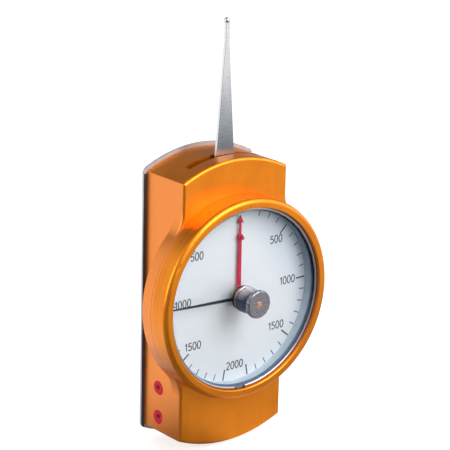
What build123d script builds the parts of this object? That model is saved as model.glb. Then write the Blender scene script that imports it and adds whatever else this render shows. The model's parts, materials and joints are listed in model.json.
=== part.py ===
from build123d import *
from math import acos, asin, cos, pi, radians, sin, sqrt, tan
import os

# Dial force gauge: a feeler lever turns a toothed sector, the sector turns the pointer's pinion,
# and a leaf spring in the foot of the housing holds the lever in the middle.
# Millimetres. The dial's axis runs along Y through the origin, the front looks along -Y, the feeler
# points up along +Z, and y = 0 is the outer face of the back plate. The front is at negative y.

# Housing block
block_width = 38.8
block_depth = 17.65
top_radius = 41.5           # curved top, about the dial's axis
bottom_radius = 46.9        # curved foot, about the dial's axis
front_edge_round = 0.85
long_edge_round = 0.3

# Round drum that holds the dial
drum_radius = 30.7
drum_rise = 6.9             # in front of the block's front face
drum_back = 4.0             # behind that face, where the drum overhangs the block's sides
drum_wall = 2.85
drum_edge_round = 1.4
drum_mouth_chamfer = 0.2
witness_groove = 0.06       # turned line around the drum, level with the front face
shoulder_round = 10.0       # hollow curve from the block's sides out to the drum

# Back plate
plate_thickness = 1.0
plate_margin = 1.1          # how far the plate stands out past the block
plate_corner = 2.0
plate_edge_bevel = 0.25

# Window and dial, from the front to the back
glass_recess = 1.6
ring_thickness = 0.6
ring_width = 1.15
ring_gap = 3.0
ring_gap_angle = 183.0      # clockwise from the top, seen from the front
glass_thickness = 1.2
glass_fit = 0.15
rehaut_height = 3.1
rehaut_wall = 1.1
dial_thickness = 0.4
dial_hole = 1.3
floor_thickness = 2.6       # housing wall behind the dial

# Hollow for the movement, and the channel below it for the leaf spring
side_wall = 2.9
hollow_top = 33.0
hollow_bottom = -24.0
hollow_corner = 6.0
channel_half_width = 7.0
channel_bottom = -43.0
channel_corner = 1.5
slot_length = 26.8          # slot in the curved top for the lever
slot_width = 2.6
slot_front_gap = 0.4        # free space in front of the blade

# Fits
running_fit = 0.05          # radial, shafts in bearings
free_gap = 0.3              # between parts that pass each other

# Gear: sector on the lever, pinion on the pointer
shaft_height = 18.0         # lever's shaft above the dial's axis, which sets the tooth size
sector_teeth = 96           # of a full wheel, of which the sector keeps the ones it uses
pinion_teeth = 12
kept_teeth = 15
pressure_angle = 25.0
tooth_addendum = 0.8        # in modules
tooth_dedendum = 1.15
tooth_play = 0.05           # taken off each tooth at the pitch circle
sector_rim = 2.2            # below the window, under the teeth
sector_web = 1.4            # above the window, to the hub
sector_spoke_share = 0.38   # of the sector's angle, taken by its two spokes
sector_thickness = 1.2
pinion_length = 1.5
pinion_end_gap = 0.1

# Lever
lever_turn = 21.2           # degrees each way
blade_thickness = 1.2
blade_width_at_slot = 6.5
blade_taper = 0.155         # width lost for each millimetre of height
blade_tip_width = 1.2
blade_edge_chamfer = 0.15
tail_radius = 12.2          # lower end of the blade, from the lever's shaft
tail_width = 7.6
ball_height = 81.2
ball_radius = 0.87
hub_flange_thickness = 0.6
hub_flange_radius = 3.6
hub_sector_radius = 2.2
hub_blade_radius = 2.6
collar_thickness = 1.2
collar_radius = 3.4
lever_shaft_radius = 1.5
lever_pivot_radius = 1.0
sector_front_gap = 0.2
spring_pin_radius = 0.9
spring_pin_reach = 10.0     # from the lever's shaft to the pins

# Movement plates
front_plate_thickness = 1.5
front_plate_gap = 1.1       # to the hollow's side walls
front_plate_top = 30.6
front_plate_bottom = -8.0
front_plate_corner = 4.0
bridge_front = 10.9         # from the front plate's back face to the bridge
bridge_thickness = 1.8
bridge_height = 18.0
pillar_radius = 2.0
pillar_gap = 1.5            # to the hollow's side walls
pillar_up = 6.0             # above and below the lever's shaft
pillar_stud_radius = 1.0
pillar_stud_length = 1.4    # into the housing floor
bush_radius = 2.25
stop_pin_radius = 1.0
stop_pin_reach = 12.5       # from the lever's shaft
stop_pin_length = 4.4

# Pointer
pointer_shaft_radius = 0.6
pointer_pivot_radius = 0.75
pinion_seat_radius = 0.9
pointer_bush_radius = 1.75
cock_bush_radius = 1.3
cock_front = 2.0            # from the front plate's back face
cock_thickness = 1.2
cock_span = 18.0            # between its two screws
cock_drop = 4.0             # screws below the dial's axis
cock_arm_width = 4.4
cock_lobe_radius = 3.2
hub_height = 1.4
hub_flange_height = 0.3
hub_radius = 1.2
hub_foot_radius = 2.0
hub_cap = 0.2               # closed end in front of the arbor
hand_gap = 0.3              # from the dial to the hub's foot
hand_thickness = 0.3
hand_root_width = 1.4
hand_end_width = 1.1        # at the drive pin
hand_neck_width = 0.7
hand_tip_gap = 1.6          # to the ring around the dial
hand_neck_length = 6.8      # slim part beyond the drive pin
hand_barb_length = 2.5      # open arrow head: two barbs that slope back from the tip
hand_barb_reach = 1.1
hand_barb_width = 0.35
drive_pin_radius = 0.5
drive_pin_foot_radius = 1.0
drive_pin_foot = 0.25
drive_pin_gap = 0.15        # from the pin's end to the drag hand

# Hairspring
hairspring_gap = 0.3
hairspring_height = 0.5
hairspring_strip = 0.12
hairspring_step = 0.95      # growth of the radius for each full turn
hairspring_half_turns = 6
collet_radius = 1.15
collet_height = 0.7
stud_radius = 0.5
stud_height = 1.1

# Leaf spring, its block and its clamp
leaf_thickness = 1.8
leaf_width = 5.4
leaf_gap = 0.3              # behind the pointer's arbor
leaf_top = 9.6
leaf_foot = 1.0             # between the leaf's end and the block's
leaf_play = 0.05            # to each spring pin
block_top = -26.0
block_across = 12.0         # along Y
clamp_thickness = 3.0
clamp_margin = 2.0
clamp_screw_heights = (-32.0, -36.4)
clamp_screw_radius = 1.0
clamp_head_radius = 1.9
clamp_head_height = 1.5
clamp_screw_reach = 3.0     # into the block

# Side screws under sealing lacquer
side_screw_heights = (-28.8, -38.1)
side_screw_back = 7.95      # from the back plate's outer face
side_head_radius = 2.0
side_head_height = 1.5
side_head_recess = 0.3
side_hole_radius = 2.1
side_shank_radius = 1.2
side_shank_reach = 2.4      # into the spring block
lacquer_rise = 0.18
lacquer_slope = 0.6

# Other screws
plate_screw_top = (15.6, 33.2)
plate_screw_bottom = (14.0, -35.0)
plate_screw_head_radius = 1.9
plate_screw_shank_radius = 0.95
plate_screw_length = 6.0
plate_screw_sink = 0.05
small_screw_radius = 0.9
small_head_radius = 1.8
small_head_height = 0.9
small_screw_length = 4.5
slot_cut_width = 0.5
slot_cut_depth = 0.4
slot_turns = (25, 65, 105, 145)   # how the screws' slots happen to stand

# Drag hand, knob and the bush in the window
drag_rest_angle = -87.6     # clockwise from the top
drag_tip_gap = 0.4          # to the ring around the dial
drag_root_width = 1.1
drag_tip_width = 0.4
drag_eye_radius = 3.7
drag_thickness = 0.3
spindle_radius = 1.0
spindle_flange_radius = 2.4
spindle_flange_height = 0.3
spindle_stub_radius = 0.8
washer_radius = 3.6
washer_thickness = 0.2
glass_bush_radius = 1.9
glass_bush_flange = 4.0
glass_bush_flange_height = 0.5
glass_bush_edge = 0.15
knob_radius = 4.3
knob_head_height = 1.5
knob_neck_height = 4.65
knob_foot_radius = 4.0      # barrel-shaped neck, at its foot and under the head
knob_waist_radius = 3.2
knob_neck_bulge = 0.2
knob_groove_radius = 3.6    # turned groove at the foot
knob_groove_height = 0.3
knob_ridges = 40
knob_ridge_depth = 0.2
knob_land_width = 0.25      # smooth edge on both sides of the knurling
knob_end_wall = 1.0
knob_screw_head_radius = 1.05
knob_screw_head_height = 0.5
knob_screw_radius = 0.5
knob_screw_length = 2.6
knob_screw_rise = 0.05
knob_screw_edge = 0.1
knob_screw_slot = 0.25
face_gap = 0.05             # between flat faces that turn on each other

# Places along Y that follow from the sizes above
block_front = -(plate_thickness + block_depth)
block_back = -plate_thickness
drum_front = block_front - drum_rise
drum_rear = block_front + drum_back
glass_front = drum_front + glass_recess
glass_back = glass_front + glass_thickness
dial_front = glass_back + rehaut_height
dial_back = dial_front + dial_thickness
hollow_front = dial_back + floor_thickness
train_front = hollow_front + front_plate_thickness
sector_front = train_front + sector_front_gap
sector_back = sector_front + sector_thickness
blade_front = sector_back + hub_flange_thickness
blade_back = blade_front + blade_thickness
collar_back = blade_back + collar_thickness
bridge_face = train_front + bridge_front
bridge_back = bridge_face + bridge_thickness
cock_face = train_front + cock_front
cock_back = cock_face + cock_thickness
hairspring_front = cock_back + hairspring_gap
pointer_end = hairspring_front + collet_height
leaf_front = pointer_end + leaf_gap
leaf_back = leaf_front + leaf_width
leaf_middle = leaf_front + leaf_width / 2
hub_foot = dial_front - hand_gap
hand_back = hub_foot - hub_flange_height
hand_front = hand_back - hand_thickness
washer_back = glass_back + face_gap + washer_thickness
flange_back = washer_back + spindle_flange_height
drag_back = flange_back + drag_thickness
glass_bush_front = glass_front - glass_bush_flange_height
knob_back = glass_bush_front - face_gap
knob_shoulder = knob_back - knob_neck_height
knob_front = knob_shoulder - knob_head_height

# Places across and up
bore_radius = drum_radius - drum_wall
rehaut_bore = bore_radius - glass_fit - rehaut_wall
hand_length = rehaut_bore - hand_tip_gap
hand_neck_start = hand_length - hand_neck_length
drag_length = rehaut_bore - drag_tip_gap
hairspring_start = collet_radius + hairspring_strip / 2 + hairspring_step / 4
block_bottom = channel_bottom + channel_corner
hollow_half_width = block_width / 2 - side_wall
front_plate_width = 2 * (hollow_half_width - front_plate_gap)
pillar_across = hollow_half_width - pillar_gap - pillar_radius
gear_module = 2 * shaft_height / (sector_teeth + pinion_teeth)
sector_pitch_radius = gear_module * sector_teeth / 2
slot_height = top_radius - blade_width_at_slot / 20
ball_seat = ball_height - sqrt(ball_radius ** 2 - (blade_tip_width / 2) ** 2)
spring_pin_across = leaf_thickness / 2 + leaf_play + spring_pin_radius
spring_pin_height = shaft_height - spring_pin_reach
block_left = -channel_half_width
wall_left = -block_width / 2


# Shapes are drawn in the XZ plane, seen from the front with x to the right and z up.
def slab(sketch, front, back):
    return extrude(Plane.XZ.offset(-back) * sketch, amount=back - front)


def disc(radius, front, back, x=0.0, z=0.0):
    return slab(Pos(x, z) * Circle(radius), front, back)


def tube(radius, bore, front, back, x=0.0, z=0.0):
    return slab(Pos(x, z) * (Circle(radius) - Circle(bore)), front, back)


# A body turned about an axis along Y: each point is a radius and a y.
def turned(*points, x=0.0, z=0.0):
    profile = make_face(Polyline(*points, close=True))
    return Pos(x, 0, z) * revolve(profile, Axis.Y)


# The same about an axis along X: each point is an x and a radius.
def turned_across(*points, y=0.0, z=0.0):
    profile = make_face(Polyline(*points, close=True))
    return Pos(0, y, z) * revolve(profile, Axis.X)


def mirrored_places(across, heights):
    return [(side * across, height) for height in heights for side in (-1, 1)]


def group(pieces):
    return Compound(children=[piece.solid() for piece in pieces])


# Outline with straight sides and ends that are arcs about the dial's axis.
def block_outline(half_width, top, bottom):
    top_corner = sqrt(top ** 2 - half_width ** 2)
    bottom_corner = -sqrt(bottom ** 2 - half_width ** 2)
    left = Line((-half_width, bottom_corner), (-half_width, top_corner))
    over = ThreePointArc((-half_width, top_corner), (0, top), (half_width, top_corner))
    right = Line((half_width, top_corner), (half_width, bottom_corner))
    under = ThreePointArc((half_width, bottom_corner), (0, -bottom), (-half_width, bottom_corner))
    return make_face([left, over, right, under])


# Points of one flank of an involute tooth, as (radius, angle from the tooth's middle).
def tooth_flank(teeth, points):
    pitch = gear_module * teeth / 2
    base = pitch * cos(radians(pressure_angle))
    outer = pitch + tooth_addendum * gear_module
    root = pitch - tooth_dedendum * gear_module
    thickness = pi * gear_module / 2 - tooth_play
    half_angle = thickness / (2 * pitch) + tan(radians(pressure_angle)) - radians(pressure_angle)
    start = max(base, root)
    flank = []
    if root < base:
        flank.append((root, half_angle))
    for step in range(points):
        radius = start + (outer - start) * step / (points - 1)
        roll = acos(base / radius)
        flank.append((radius, half_angle - (tan(roll) - roll)))
    return flank


# Outline points of consecutive teeth, turned so that the first tooth's middle is at first_angle.
# Angles are in radians, counter-clockwise from +x in the XZ plane.
def toothed_arc(teeth, count, first_angle, points, x=0.0, z=0.0):
    flank = tooth_flank(teeth, points)
    outline = []
    for number in range(count):
        middle = first_angle + number * 2 * pi / teeth
        rising = [(radius, middle - angle) for radius, angle in flank]
        falling = [(radius, middle + angle) for radius, angle in reversed(flank)]
        outline += [(x + r * cos(a), z + r * sin(a)) for r, a in rising + falling]
    return outline


# ---- Case ----

def case_outline():
    return fillet(block_outline(block_width / 2, top_radius, bottom_radius).vertices(), long_edge_round)


# Outline of the block and the drum together, with a hollow curve in each of the four corners
# where a straight side runs into the drum.
def shoulder_outline():
    outline = case_outline() + Circle(drum_radius)
    corners = outline.vertices().filter_by(lambda corner: drum_radius / 2 < abs(corner.Y) < drum_radius)
    return fillet(corners, shoulder_round)


def housing():
    block = slab(case_outline(), block_front, block_back)
    block += slab(shoulder_outline(), block_front, drum_rear)
    block = fillet(block.faces().sort_by(Axis.Y)[0].edges(), front_edge_round)
    drum = disc(drum_radius, drum_front, drum_rear)
    drum = fillet(drum.faces().sort_by(Axis.Y)[0].edges(), drum_edge_round)
    groove = turned(
        (drum_radius + witness_groove, block_front - 2 * witness_groove),
        (drum_radius - witness_groove, block_front),
        (drum_radius + witness_groove, block_front + 2 * witness_groove),
    )
    body = block + (drum - groove)
    body -= disc(bore_radius, drum_front, dial_back)
    mouth = bore_radius + drum_mouth_chamfer
    body -= turned((0, drum_front), (mouth, drum_front), (0, drum_front + mouth))
    hollow = Pos(0, (hollow_top + hollow_bottom) / 2) * RectangleRounded(
        2 * hollow_half_width, hollow_top - hollow_bottom, hollow_corner)
    channel_top = hollow_bottom + channel_corner
    channel = Pos(0, (channel_top + channel_bottom) / 2) * RectangleRounded(
        2 * channel_half_width, channel_top - channel_bottom, channel_corner)
    channel += Pos(0, hollow_bottom) * Rectangle(2 * channel_half_width, 2 * channel_corner)
    body -= slab(hollow + channel, hollow_front, block_back)
    slot_front = blade_front - slot_front_gap
    slot = Pos(0, (hollow_top + top_radius) / 2) * Rectangle(slot_length, top_radius - hollow_top + 2)
    body -= slab(slot, slot_front, slot_front + slot_width)
    body -= disc(pointer_bush_radius + free_gap, dial_back, hollow_front)
    for x, z in pillar_places():
        body -= disc(pillar_stud_radius, hollow_front - pillar_stud_length, hollow_front, x, z)
    for x, z in plate_screw_places():
        body -= disc(plate_screw_shank_radius, block_back - plate_screw_length, block_back, x, z)
    for z in side_screw_heights:
        body -= turned_across(
            (wall_left, 0), (wall_left, side_hole_radius),
            (side_head_seat(), side_hole_radius), (side_head_seat(), side_shank_radius),
            (block_left, side_shank_radius), (block_left, 0),
            y=-side_screw_back, z=z)
    return body


def side_head_seat():
    return wall_left + side_head_recess + side_head_height


def pillar_places():
    return mirrored_places(pillar_across, (shaft_height - pillar_up, shaft_height + pillar_up))


def cock_screw_places():
    return mirrored_places(cock_span / 2, (-cock_drop,))


def plate_screw_places():
    top_x, top_z = plate_screw_top
    bottom_x, bottom_z = plate_screw_bottom
    return mirrored_places(top_x, (top_z,)) + mirrored_places(bottom_x, (bottom_z,))


def back_plate():
    outline = block_outline(
        block_width / 2 + plate_margin, top_radius + plate_margin, bottom_radius + plate_margin)
    plate = slab(outline, block_back, 0)
    plate = fillet(plate.edges().filter_by(Axis.Y), plate_corner)
    plate = chamfer(plate.faces().sort_by(Axis.Y)[-1].edges(), plate_edge_bevel)
    for x, z in plate_screw_places():
        plate -= turned(
            (0, 0), (plate_screw_head_radius, 0),
            (plate_screw_shank_radius, -plate_thickness), (0, -plate_thickness), x=x, z=z)
    return plate


def back_plate_screws():
    head_taper = plate_screw_head_radius - plate_screw_shank_radius
    rim = plate_screw_head_radius - head_taper * plate_screw_sink / plate_thickness
    screws = []
    for (x, z), turn in zip(plate_screw_places(), slot_turns):
        screw = turned(
            (0, -plate_screw_sink), (rim, -plate_screw_sink),
            (plate_screw_shank_radius, block_back),
            (plate_screw_shank_radius, block_back - plate_screw_length),
            (0, block_back - plate_screw_length), x=x, z=z)
        cut = Pos(x, -plate_screw_sink, z) * Rot(0, turn, 0) * Box(
            3 * plate_screw_head_radius, 2 * slot_cut_depth, slot_cut_width)
        screws.append(screw - cut)
    return group(screws)


def retaining_ring():
    ring = tube(bore_radius, bore_radius - ring_width, glass_front - ring_thickness, glass_front)
    gap = Pos(0, 0, bore_radius) * Box(ring_gap, 4 * bore_radius, 2 * ring_width + 2)
    return ring - Rot(0, ring_gap_angle, 0) * gap


def crystal():
    return tube(bore_radius - glass_fit, glass_bush_radius, glass_front, glass_back)


def rehaut_ring():
    outer = bore_radius - glass_fit
    return tube(outer, rehaut_bore, glass_back, dial_front)


def dial():
    return tube(bore_radius - glass_fit, dial_hole, dial_front, dial_back)


def crystal_bush():
    bore = spindle_radius + running_fit
    return turned(
        (bore, glass_bush_front), (glass_bush_flange - glass_bush_edge, glass_bush_front),
        (glass_bush_flange, glass_bush_front + glass_bush_edge), (glass_bush_flange, glass_front),
        (glass_bush_radius, glass_front), (glass_bush_radius, glass_back), (bore, glass_back))


# ---- Movement plates ----

def front_plate():
    height = front_plate_top - front_plate_bottom
    outline = Pos(0, (front_plate_top + front_plate_bottom) / 2) * RectangleRounded(
        front_plate_width, height, front_plate_corner)
    plate = slab(outline, hollow_front, train_front)
    plate -= disc(bush_radius, hollow_front, train_front, 0, shaft_height)
    plate -= disc(pointer_bush_radius, hollow_front, train_front)
    for x, z in pillar_places():
        plate -= disc(pillar_stud_radius, hollow_front, train_front, x, z)
    for x, z in cock_screw_places():
        plate -= disc(small_screw_radius, hollow_front, train_front, x, z)
    for x, z in stop_pin_places():
        plate -= disc(stop_pin_radius, hollow_front, train_front, x, z)
    return plate


# Each stop stands beside the blade's edge when the lever is at the end of its travel.
def stop_pin_places():
    half_blade = blade_width(shaft_height + stop_pin_reach) / 2
    slant = asin((half_blade + stop_pin_radius + free_gap) / stop_pin_reach)
    angle = radians(lever_turn) + slant
    across = stop_pin_reach * sin(angle)
    return mirrored_places(across, (shaft_height + stop_pin_reach * cos(angle),))


def stop_pins():
    rear = train_front + stop_pin_length
    return group([disc(stop_pin_radius, hollow_front, rear, x, z) for x, z in stop_pin_places()])


def pillars():
    rear = bridge_face - small_screw_length
    posts = []
    for x, z in pillar_places():
        posts.append(turned(
            (0, hollow_front - pillar_stud_length), (pillar_stud_radius, hollow_front - pillar_stud_length),
            (pillar_stud_radius, train_front), (pillar_radius, train_front), (pillar_radius, bridge_face),
            (small_screw_radius, bridge_face), (small_screw_radius, rear), (0, rear), x=x, z=z))
    return group(posts)


def rear_bridge():
    width = 2 * (pillar_across + pillar_radius)
    outline = Pos(0, shaft_height) * RectangleRounded(width, bridge_height, pillar_radius + 1)
    waist = Circle(bridge_height / 3)
    outline -= Pos(0, shaft_height + bridge_height * 0.75) * waist
    outline -= Pos(0, shaft_height - bridge_height * 0.75) * waist
    bridge = slab(outline, bridge_face, bridge_back)
    bridge -= disc(bush_radius, bridge_face, bridge_back, 0, shaft_height)
    for x, z in pillar_places():
        bridge -= disc(small_screw_radius, bridge_face, bridge_back, x, z)
    return bridge


# Slotted cheese-head screw whose head stands on the plane y = seat and points to the back.
def cheese_screw(seat, tip, x, z, turn):
    screw = turned(
        (0, tip), (small_screw_radius, tip), (small_screw_radius, seat), (small_head_radius, seat),
        (small_head_radius, seat + small_head_height), (0, seat + small_head_height), x=x, z=z)
    cut = Pos(x, seat + small_head_height, z) * Rot(0, turn, 0) * Box(
        3 * small_head_radius, 2 * slot_cut_depth, slot_cut_width)
    return screw - cut


def bridge_screws():
    tip = bridge_face - small_screw_length
    places = pillar_places()
    return group([cheese_screw(bridge_back, tip, x, z, turn) for (x, z), turn in zip(places, slot_turns)])


def pinion_cock():
    bar = Pos(0, -cock_drop) * SlotCenterToCenter(cock_span, cock_arm_width)
    lobe = Circle(cock_lobe_radius)
    neck = Pos(0, -cock_drop / 2) * Rectangle(2 * cock_lobe_radius, cock_drop)
    cock = slab(bar + neck + lobe, cock_face, cock_back)
    for x, z in cock_screw_places():
        cock += disc(cock_arm_width / 2, train_front, cock_face, x, z)
    cock -= disc(cock_bush_radius, cock_face, cock_back)
    for x, z in cock_screw_places():
        cock -= disc(small_screw_radius, train_front, cock_back, x, z)
    return cock


def cock_screws():
    places = cock_screw_places()
    return group([
        cheese_screw(cock_back, hollow_front, x, z, turn)
        for (x, z), turn in zip(places, slot_turns)])


# ---- Bearings ----

def lever_front_bush():
    bore = lever_pivot_radius + running_fit
    return tube(bush_radius, bore, hollow_front, train_front, 0, shaft_height)


def lever_rear_bush():
    bore = lever_pivot_radius + running_fit
    return tube(bush_radius, bore, bridge_face, bridge_back, 0, shaft_height)


def pointer_front_bush():
    return tube(pointer_bush_radius, pointer_pivot_radius + running_fit, hollow_front, train_front)


def pointer_rear_bush():
    return tube(cock_bush_radius, pointer_shaft_radius + running_fit, cock_face, cock_back)


# ---- Lever ----

def blade_width(height):
    return blade_width_at_slot + blade_taper * (slot_height - height)


# Tapered blade with a round tail below its shaft and a slim tip under the ball.
def feeler_blade():
    taper_end = slot_height + (blade_width_at_slot - blade_tip_width) / blade_taper
    root = blade_width(shaft_height) / 2
    tip = blade_tip_width / 2
    tail_end = shaft_height - tail_radius + tail_width / 2
    outline = make_face(Polyline(
        (-tail_width / 2, tail_end), (-root, shaft_height), (-tip, taper_end), (-tip, ball_seat),
        (tip, ball_seat), (tip, taper_end), (root, shaft_height), (tail_width / 2, tail_end), close=True))
    outline += Pos(0, tail_end) * Circle(tail_width / 2)
    blade = slab(outline, blade_front, blade_back)
    highest = ball_seat - blade_edge_chamfer
    above = blade.edges().filter_by(lambda edge: shaft_height < edge.center().Z < highest)
    for rim in (above.group_by(Axis.Y)[0], above.group_by(Axis.Y)[-1]):
        blade = chamfer(rim, blade_edge_chamfer)
    blade -= disc(hub_blade_radius, blade_front, blade_back, 0, shaft_height)
    for side in (-1, 1):
        blade -= disc(spring_pin_radius, blade_front, blade_back, side * spring_pin_across, spring_pin_height)
    return blade


def feeler_ball():
    middle = (blade_front + blade_back) / 2
    ball = Pos(0, middle, ball_height) * Sphere(ball_radius)
    below = Pos(0, middle, ball_seat - ball_radius) * Box(4 * ball_radius, 4 * ball_radius, 2 * ball_radius)
    return ball - below


def lever_arbor():
    front = hollow_front + free_gap / 2
    return turned(
        (0, front), (lever_pivot_radius, front), (lever_pivot_radius, train_front + face_gap),
        (lever_shaft_radius, train_front + face_gap), (lever_shaft_radius, bridge_face - face_gap),
        (lever_pivot_radius, bridge_face - face_gap), (lever_pivot_radius, bridge_back), (0, bridge_back),
        z=shaft_height)


def lever_hub():
    return turned(
        (lever_shaft_radius, sector_front), (hub_sector_radius, sector_front),
        (hub_sector_radius, sector_back), (hub_flange_radius, sector_back),
        (hub_flange_radius, blade_front), (hub_blade_radius, blade_front),
        (hub_blade_radius, blade_back), (lever_shaft_radius, blade_back), z=shaft_height)


def lever_collar():
    return tube(collar_radius, lever_shaft_radius, blade_back, collar_back, 0, shaft_height)


# Sector with its teeth along the lower arc, a round boss on the hub and a lightening window.
def gear_sector():
    step = 2 * pi / sector_teeth
    first = -pi / 2 - step * (kept_teeth - 1) / 2
    teeth = toothed_arc(sector_teeth, kept_teeth, first, 3, 0, shaft_height)
    wedge = make_face(Polyline(*teeth, (0, shaft_height), close=True))
    rim_radius = sector_pitch_radius - tooth_dedendum * gear_module
    window_low = rim_radius - sector_rim
    window_high = hub_flange_radius + sector_web
    spread = step * kept_teeth / 2 * (1 - sector_spoke_share)
    window = make_face(Polyline(
        (window_high * sin(spread), shaft_height - window_high),
        (window_low * sin(spread), shaft_height - window_low * cos(spread)),
        (-window_low * sin(spread), shaft_height - window_low * cos(spread)),
        (-window_high * sin(spread), shaft_height - window_high), close=True))
    outline = wedge + Pos(0, shaft_height) * Circle(hub_flange_radius)
    outline -= window
    outline -= Pos(0, shaft_height) * Circle(hub_sector_radius)
    return slab(outline, sector_front, sector_back)


def spring_pins():
    places = mirrored_places(spring_pin_across, (spring_pin_height,))
    return group([disc(spring_pin_radius, blade_front, leaf_back, x, z) for x, z in places])


# ---- Pointer ----

# A gap between two teeth points straight up, where the sector's middle tooth stands.
def pinion():
    half_step = pi / pinion_teeth
    outline = make_face(Polyline(
        *toothed_arc(pinion_teeth, pinion_teeth, pi / 2 + half_step, 4), close=True))
    outline -= Circle(pinion_seat_radius)
    front = train_front + pinion_end_gap
    return slab(outline, front, front + pinion_length)


def pointer_arbor():
    front = hub_foot - hub_height + hub_cap
    shoulder = train_front + face_gap
    rear = train_front + pinion_end_gap + pinion_length
    return turned(
        (0, front), (pointer_shaft_radius, front), (pointer_shaft_radius, hollow_front - hub_cap),
        (pointer_pivot_radius, hollow_front), (pointer_pivot_radius, shoulder),
        (pinion_seat_radius, shoulder), (pinion_seat_radius, rear), (pointer_shaft_radius, rear),
        (pointer_shaft_radius, pointer_end), (0, pointer_end))


def pointer_hub():
    front = hub_foot - hub_height
    return turned(
        (pointer_shaft_radius, hub_foot), (hub_foot_radius, hub_foot), (hub_foot_radius, hand_back),
        (hub_radius, hand_back), (hub_radius, front), (0, front), (0, front + hub_cap),
        (pointer_shaft_radius, front + hub_cap))


# Tapered bar, a slim neck past the drive pin and an open arrow head of two barbs.
def pointer_hand():
    root = hand_root_width / 2
    end = hand_end_width / 2
    neck = hand_neck_width / 2
    neck_end = hand_length - hand_barb_length / 2
    barb_foot = hand_length - hand_barb_length
    barb_crotch = hand_length - hand_barb_width * hand_barb_length / hand_barb_reach
    right = [(root, 0), (end, hand_neck_start), (neck, hand_neck_start), (neck, neck_end)]
    outline = make_face(Polyline(*right, *[(-x, z) for x, z in reversed(right)], close=True))
    for side in (-1, 1):
        outline += make_face(Polyline(
            (0, hand_length), (side * hand_barb_reach, barb_foot),
            (side * (hand_barb_reach - hand_barb_width), barb_foot), (0, barb_crotch), close=True))
    outline += Circle(hub_foot_radius)
    outline += Pos(0, hand_neck_start) * Circle(drive_pin_foot_radius)
    outline -= Circle(hub_radius)
    outline -= Pos(0, hand_neck_start) * Circle(drive_pin_radius)
    return slab(outline, hand_front, hand_back)


def drive_pin():
    return turned(
        (0, hand_back), (drive_pin_radius, hand_back), (drive_pin_radius, hand_front),
        (drive_pin_foot_radius, hand_front), (drive_pin_foot_radius, hand_front - drive_pin_foot),
        (drive_pin_radius, hand_front - drive_pin_foot), (drive_pin_radius, drag_back + drive_pin_gap),
        (0, drag_back + drive_pin_gap), z=hand_neck_start)


def hairspring_collet():
    return tube(collet_radius, pointer_shaft_radius, hairspring_front, pointer_end)


# Flat spiral made of half circles whose centres lie on either side of the axis.
def hairspring():
    half = hairspring_strip / 2
    quarter_step = hairspring_step / 4
    outer, inner = [], []
    radius = hairspring_start
    for number in range(hairspring_half_turns):
        centre = quarter_step if number % 2 else -quarter_step
        start = 180 * number
        outer.append(CenterArc((centre, 0), radius + half, start, 180))
        inner.append(CenterArc((centre, 0), radius - half, start, 180))
        radius += hairspring_step / 2
    first_cap = Line(outer[0] @ 0, inner[0] @ 0)
    last_cap = Line(outer[-1] @ 1, inner[-1] @ 1)
    strip = make_face([*outer, *inner, first_cap, last_cap])
    return slab(strip, hairspring_front, hairspring_front + hairspring_height)


def hairspring_outer_radius():
    return hairspring_start + hairspring_step * hairspring_half_turns / 2


def hairspring_stud():
    across = hairspring_outer_radius() + free_gap + stud_radius
    return disc(stud_radius, cock_back, cock_back + stud_height, across, -cock_drop)


# ---- Measuring spring ----

def spring_block():
    middle_x = (block_left - leaf_thickness / 2) / 2
    width = -leaf_thickness / 2 - block_left
    middle_z = (block_top + block_bottom) / 2
    block = Pos(middle_x, leaf_middle, middle_z) * Box(width, block_across, block_top - block_bottom)
    for z in clamp_screw_heights:
        block -= clamp_screw_bar(-leaf_thickness / 2 - clamp_screw_reach, 0, z)
    for z in side_screw_heights:
        block -= turned_across(
            (block_left, 0), (block_left, side_shank_radius),
            (block_left + side_shank_reach, side_shank_radius), (block_left + side_shank_reach, 0),
            y=-side_screw_back, z=z)
    return block


def clamp_screw_bar(left, right, z):
    return turned_across(
        (left, 0), (left, clamp_screw_radius), (right, clamp_screw_radius), (right, 0), y=leaf_middle, z=z)


def leaf_spring():
    bottom = block_bottom + leaf_foot
    leaf = Pos(0, leaf_middle, (leaf_top + bottom) / 2) * Box(leaf_thickness, leaf_width, leaf_top - bottom)
    for z in clamp_screw_heights:
        leaf -= clamp_screw_bar(-leaf_thickness, leaf_thickness, z)
    return leaf


def spring_clamp():
    low = min(clamp_screw_heights) - clamp_head_radius - clamp_margin / 2
    high = max(clamp_screw_heights) + clamp_head_radius + clamp_margin / 2
    clamp = Pos(leaf_thickness / 2 + clamp_thickness / 2, leaf_middle, (low + high) / 2) * Box(
        clamp_thickness, leaf_width + clamp_margin, high - low)
    for z in clamp_screw_heights:
        clamp -= clamp_screw_bar(0, leaf_thickness / 2 + clamp_thickness, z)
    return clamp


def clamp_screws():
    seat = leaf_thickness / 2 + clamp_thickness
    head_end = seat + clamp_head_height
    tip = -leaf_thickness / 2 - clamp_screw_reach
    screws = []
    for z in clamp_screw_heights:
        screw = turned_across(
            (tip, 0), (tip, clamp_screw_radius), (seat, clamp_screw_radius), (seat, clamp_head_radius),
            (head_end, clamp_head_radius), (head_end, 0), y=leaf_middle, z=z)
        cut = Pos(head_end, leaf_middle, z) * Box(2 * slot_cut_depth, 3 * clamp_head_radius, slot_cut_width)
        screws.append(screw - cut)
    return group(screws)


def side_screws():
    head_face = wall_left + side_head_recess
    tip = block_left + side_shank_reach
    return group([turned_across(
        (head_face, 0), (head_face, side_head_radius), (side_head_seat(), side_head_radius),
        (side_head_seat(), side_shank_radius), (tip, side_shank_radius), (tip, 0),
        y=-side_screw_back, z=z) for z in side_screw_heights])


# Low drop that fills each screw's hole from the head to just outside the wall.
def seal_lacquer():
    crown = wall_left - lacquer_rise
    head_face = wall_left + side_head_recess
    return group([turned_across(
        (crown, 0), (crown, side_hole_radius - lacquer_slope), (wall_left, side_hole_radius),
        (head_face, side_hole_radius), (head_face, 0), y=-side_screw_back, z=z) for z in side_screw_heights])


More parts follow.
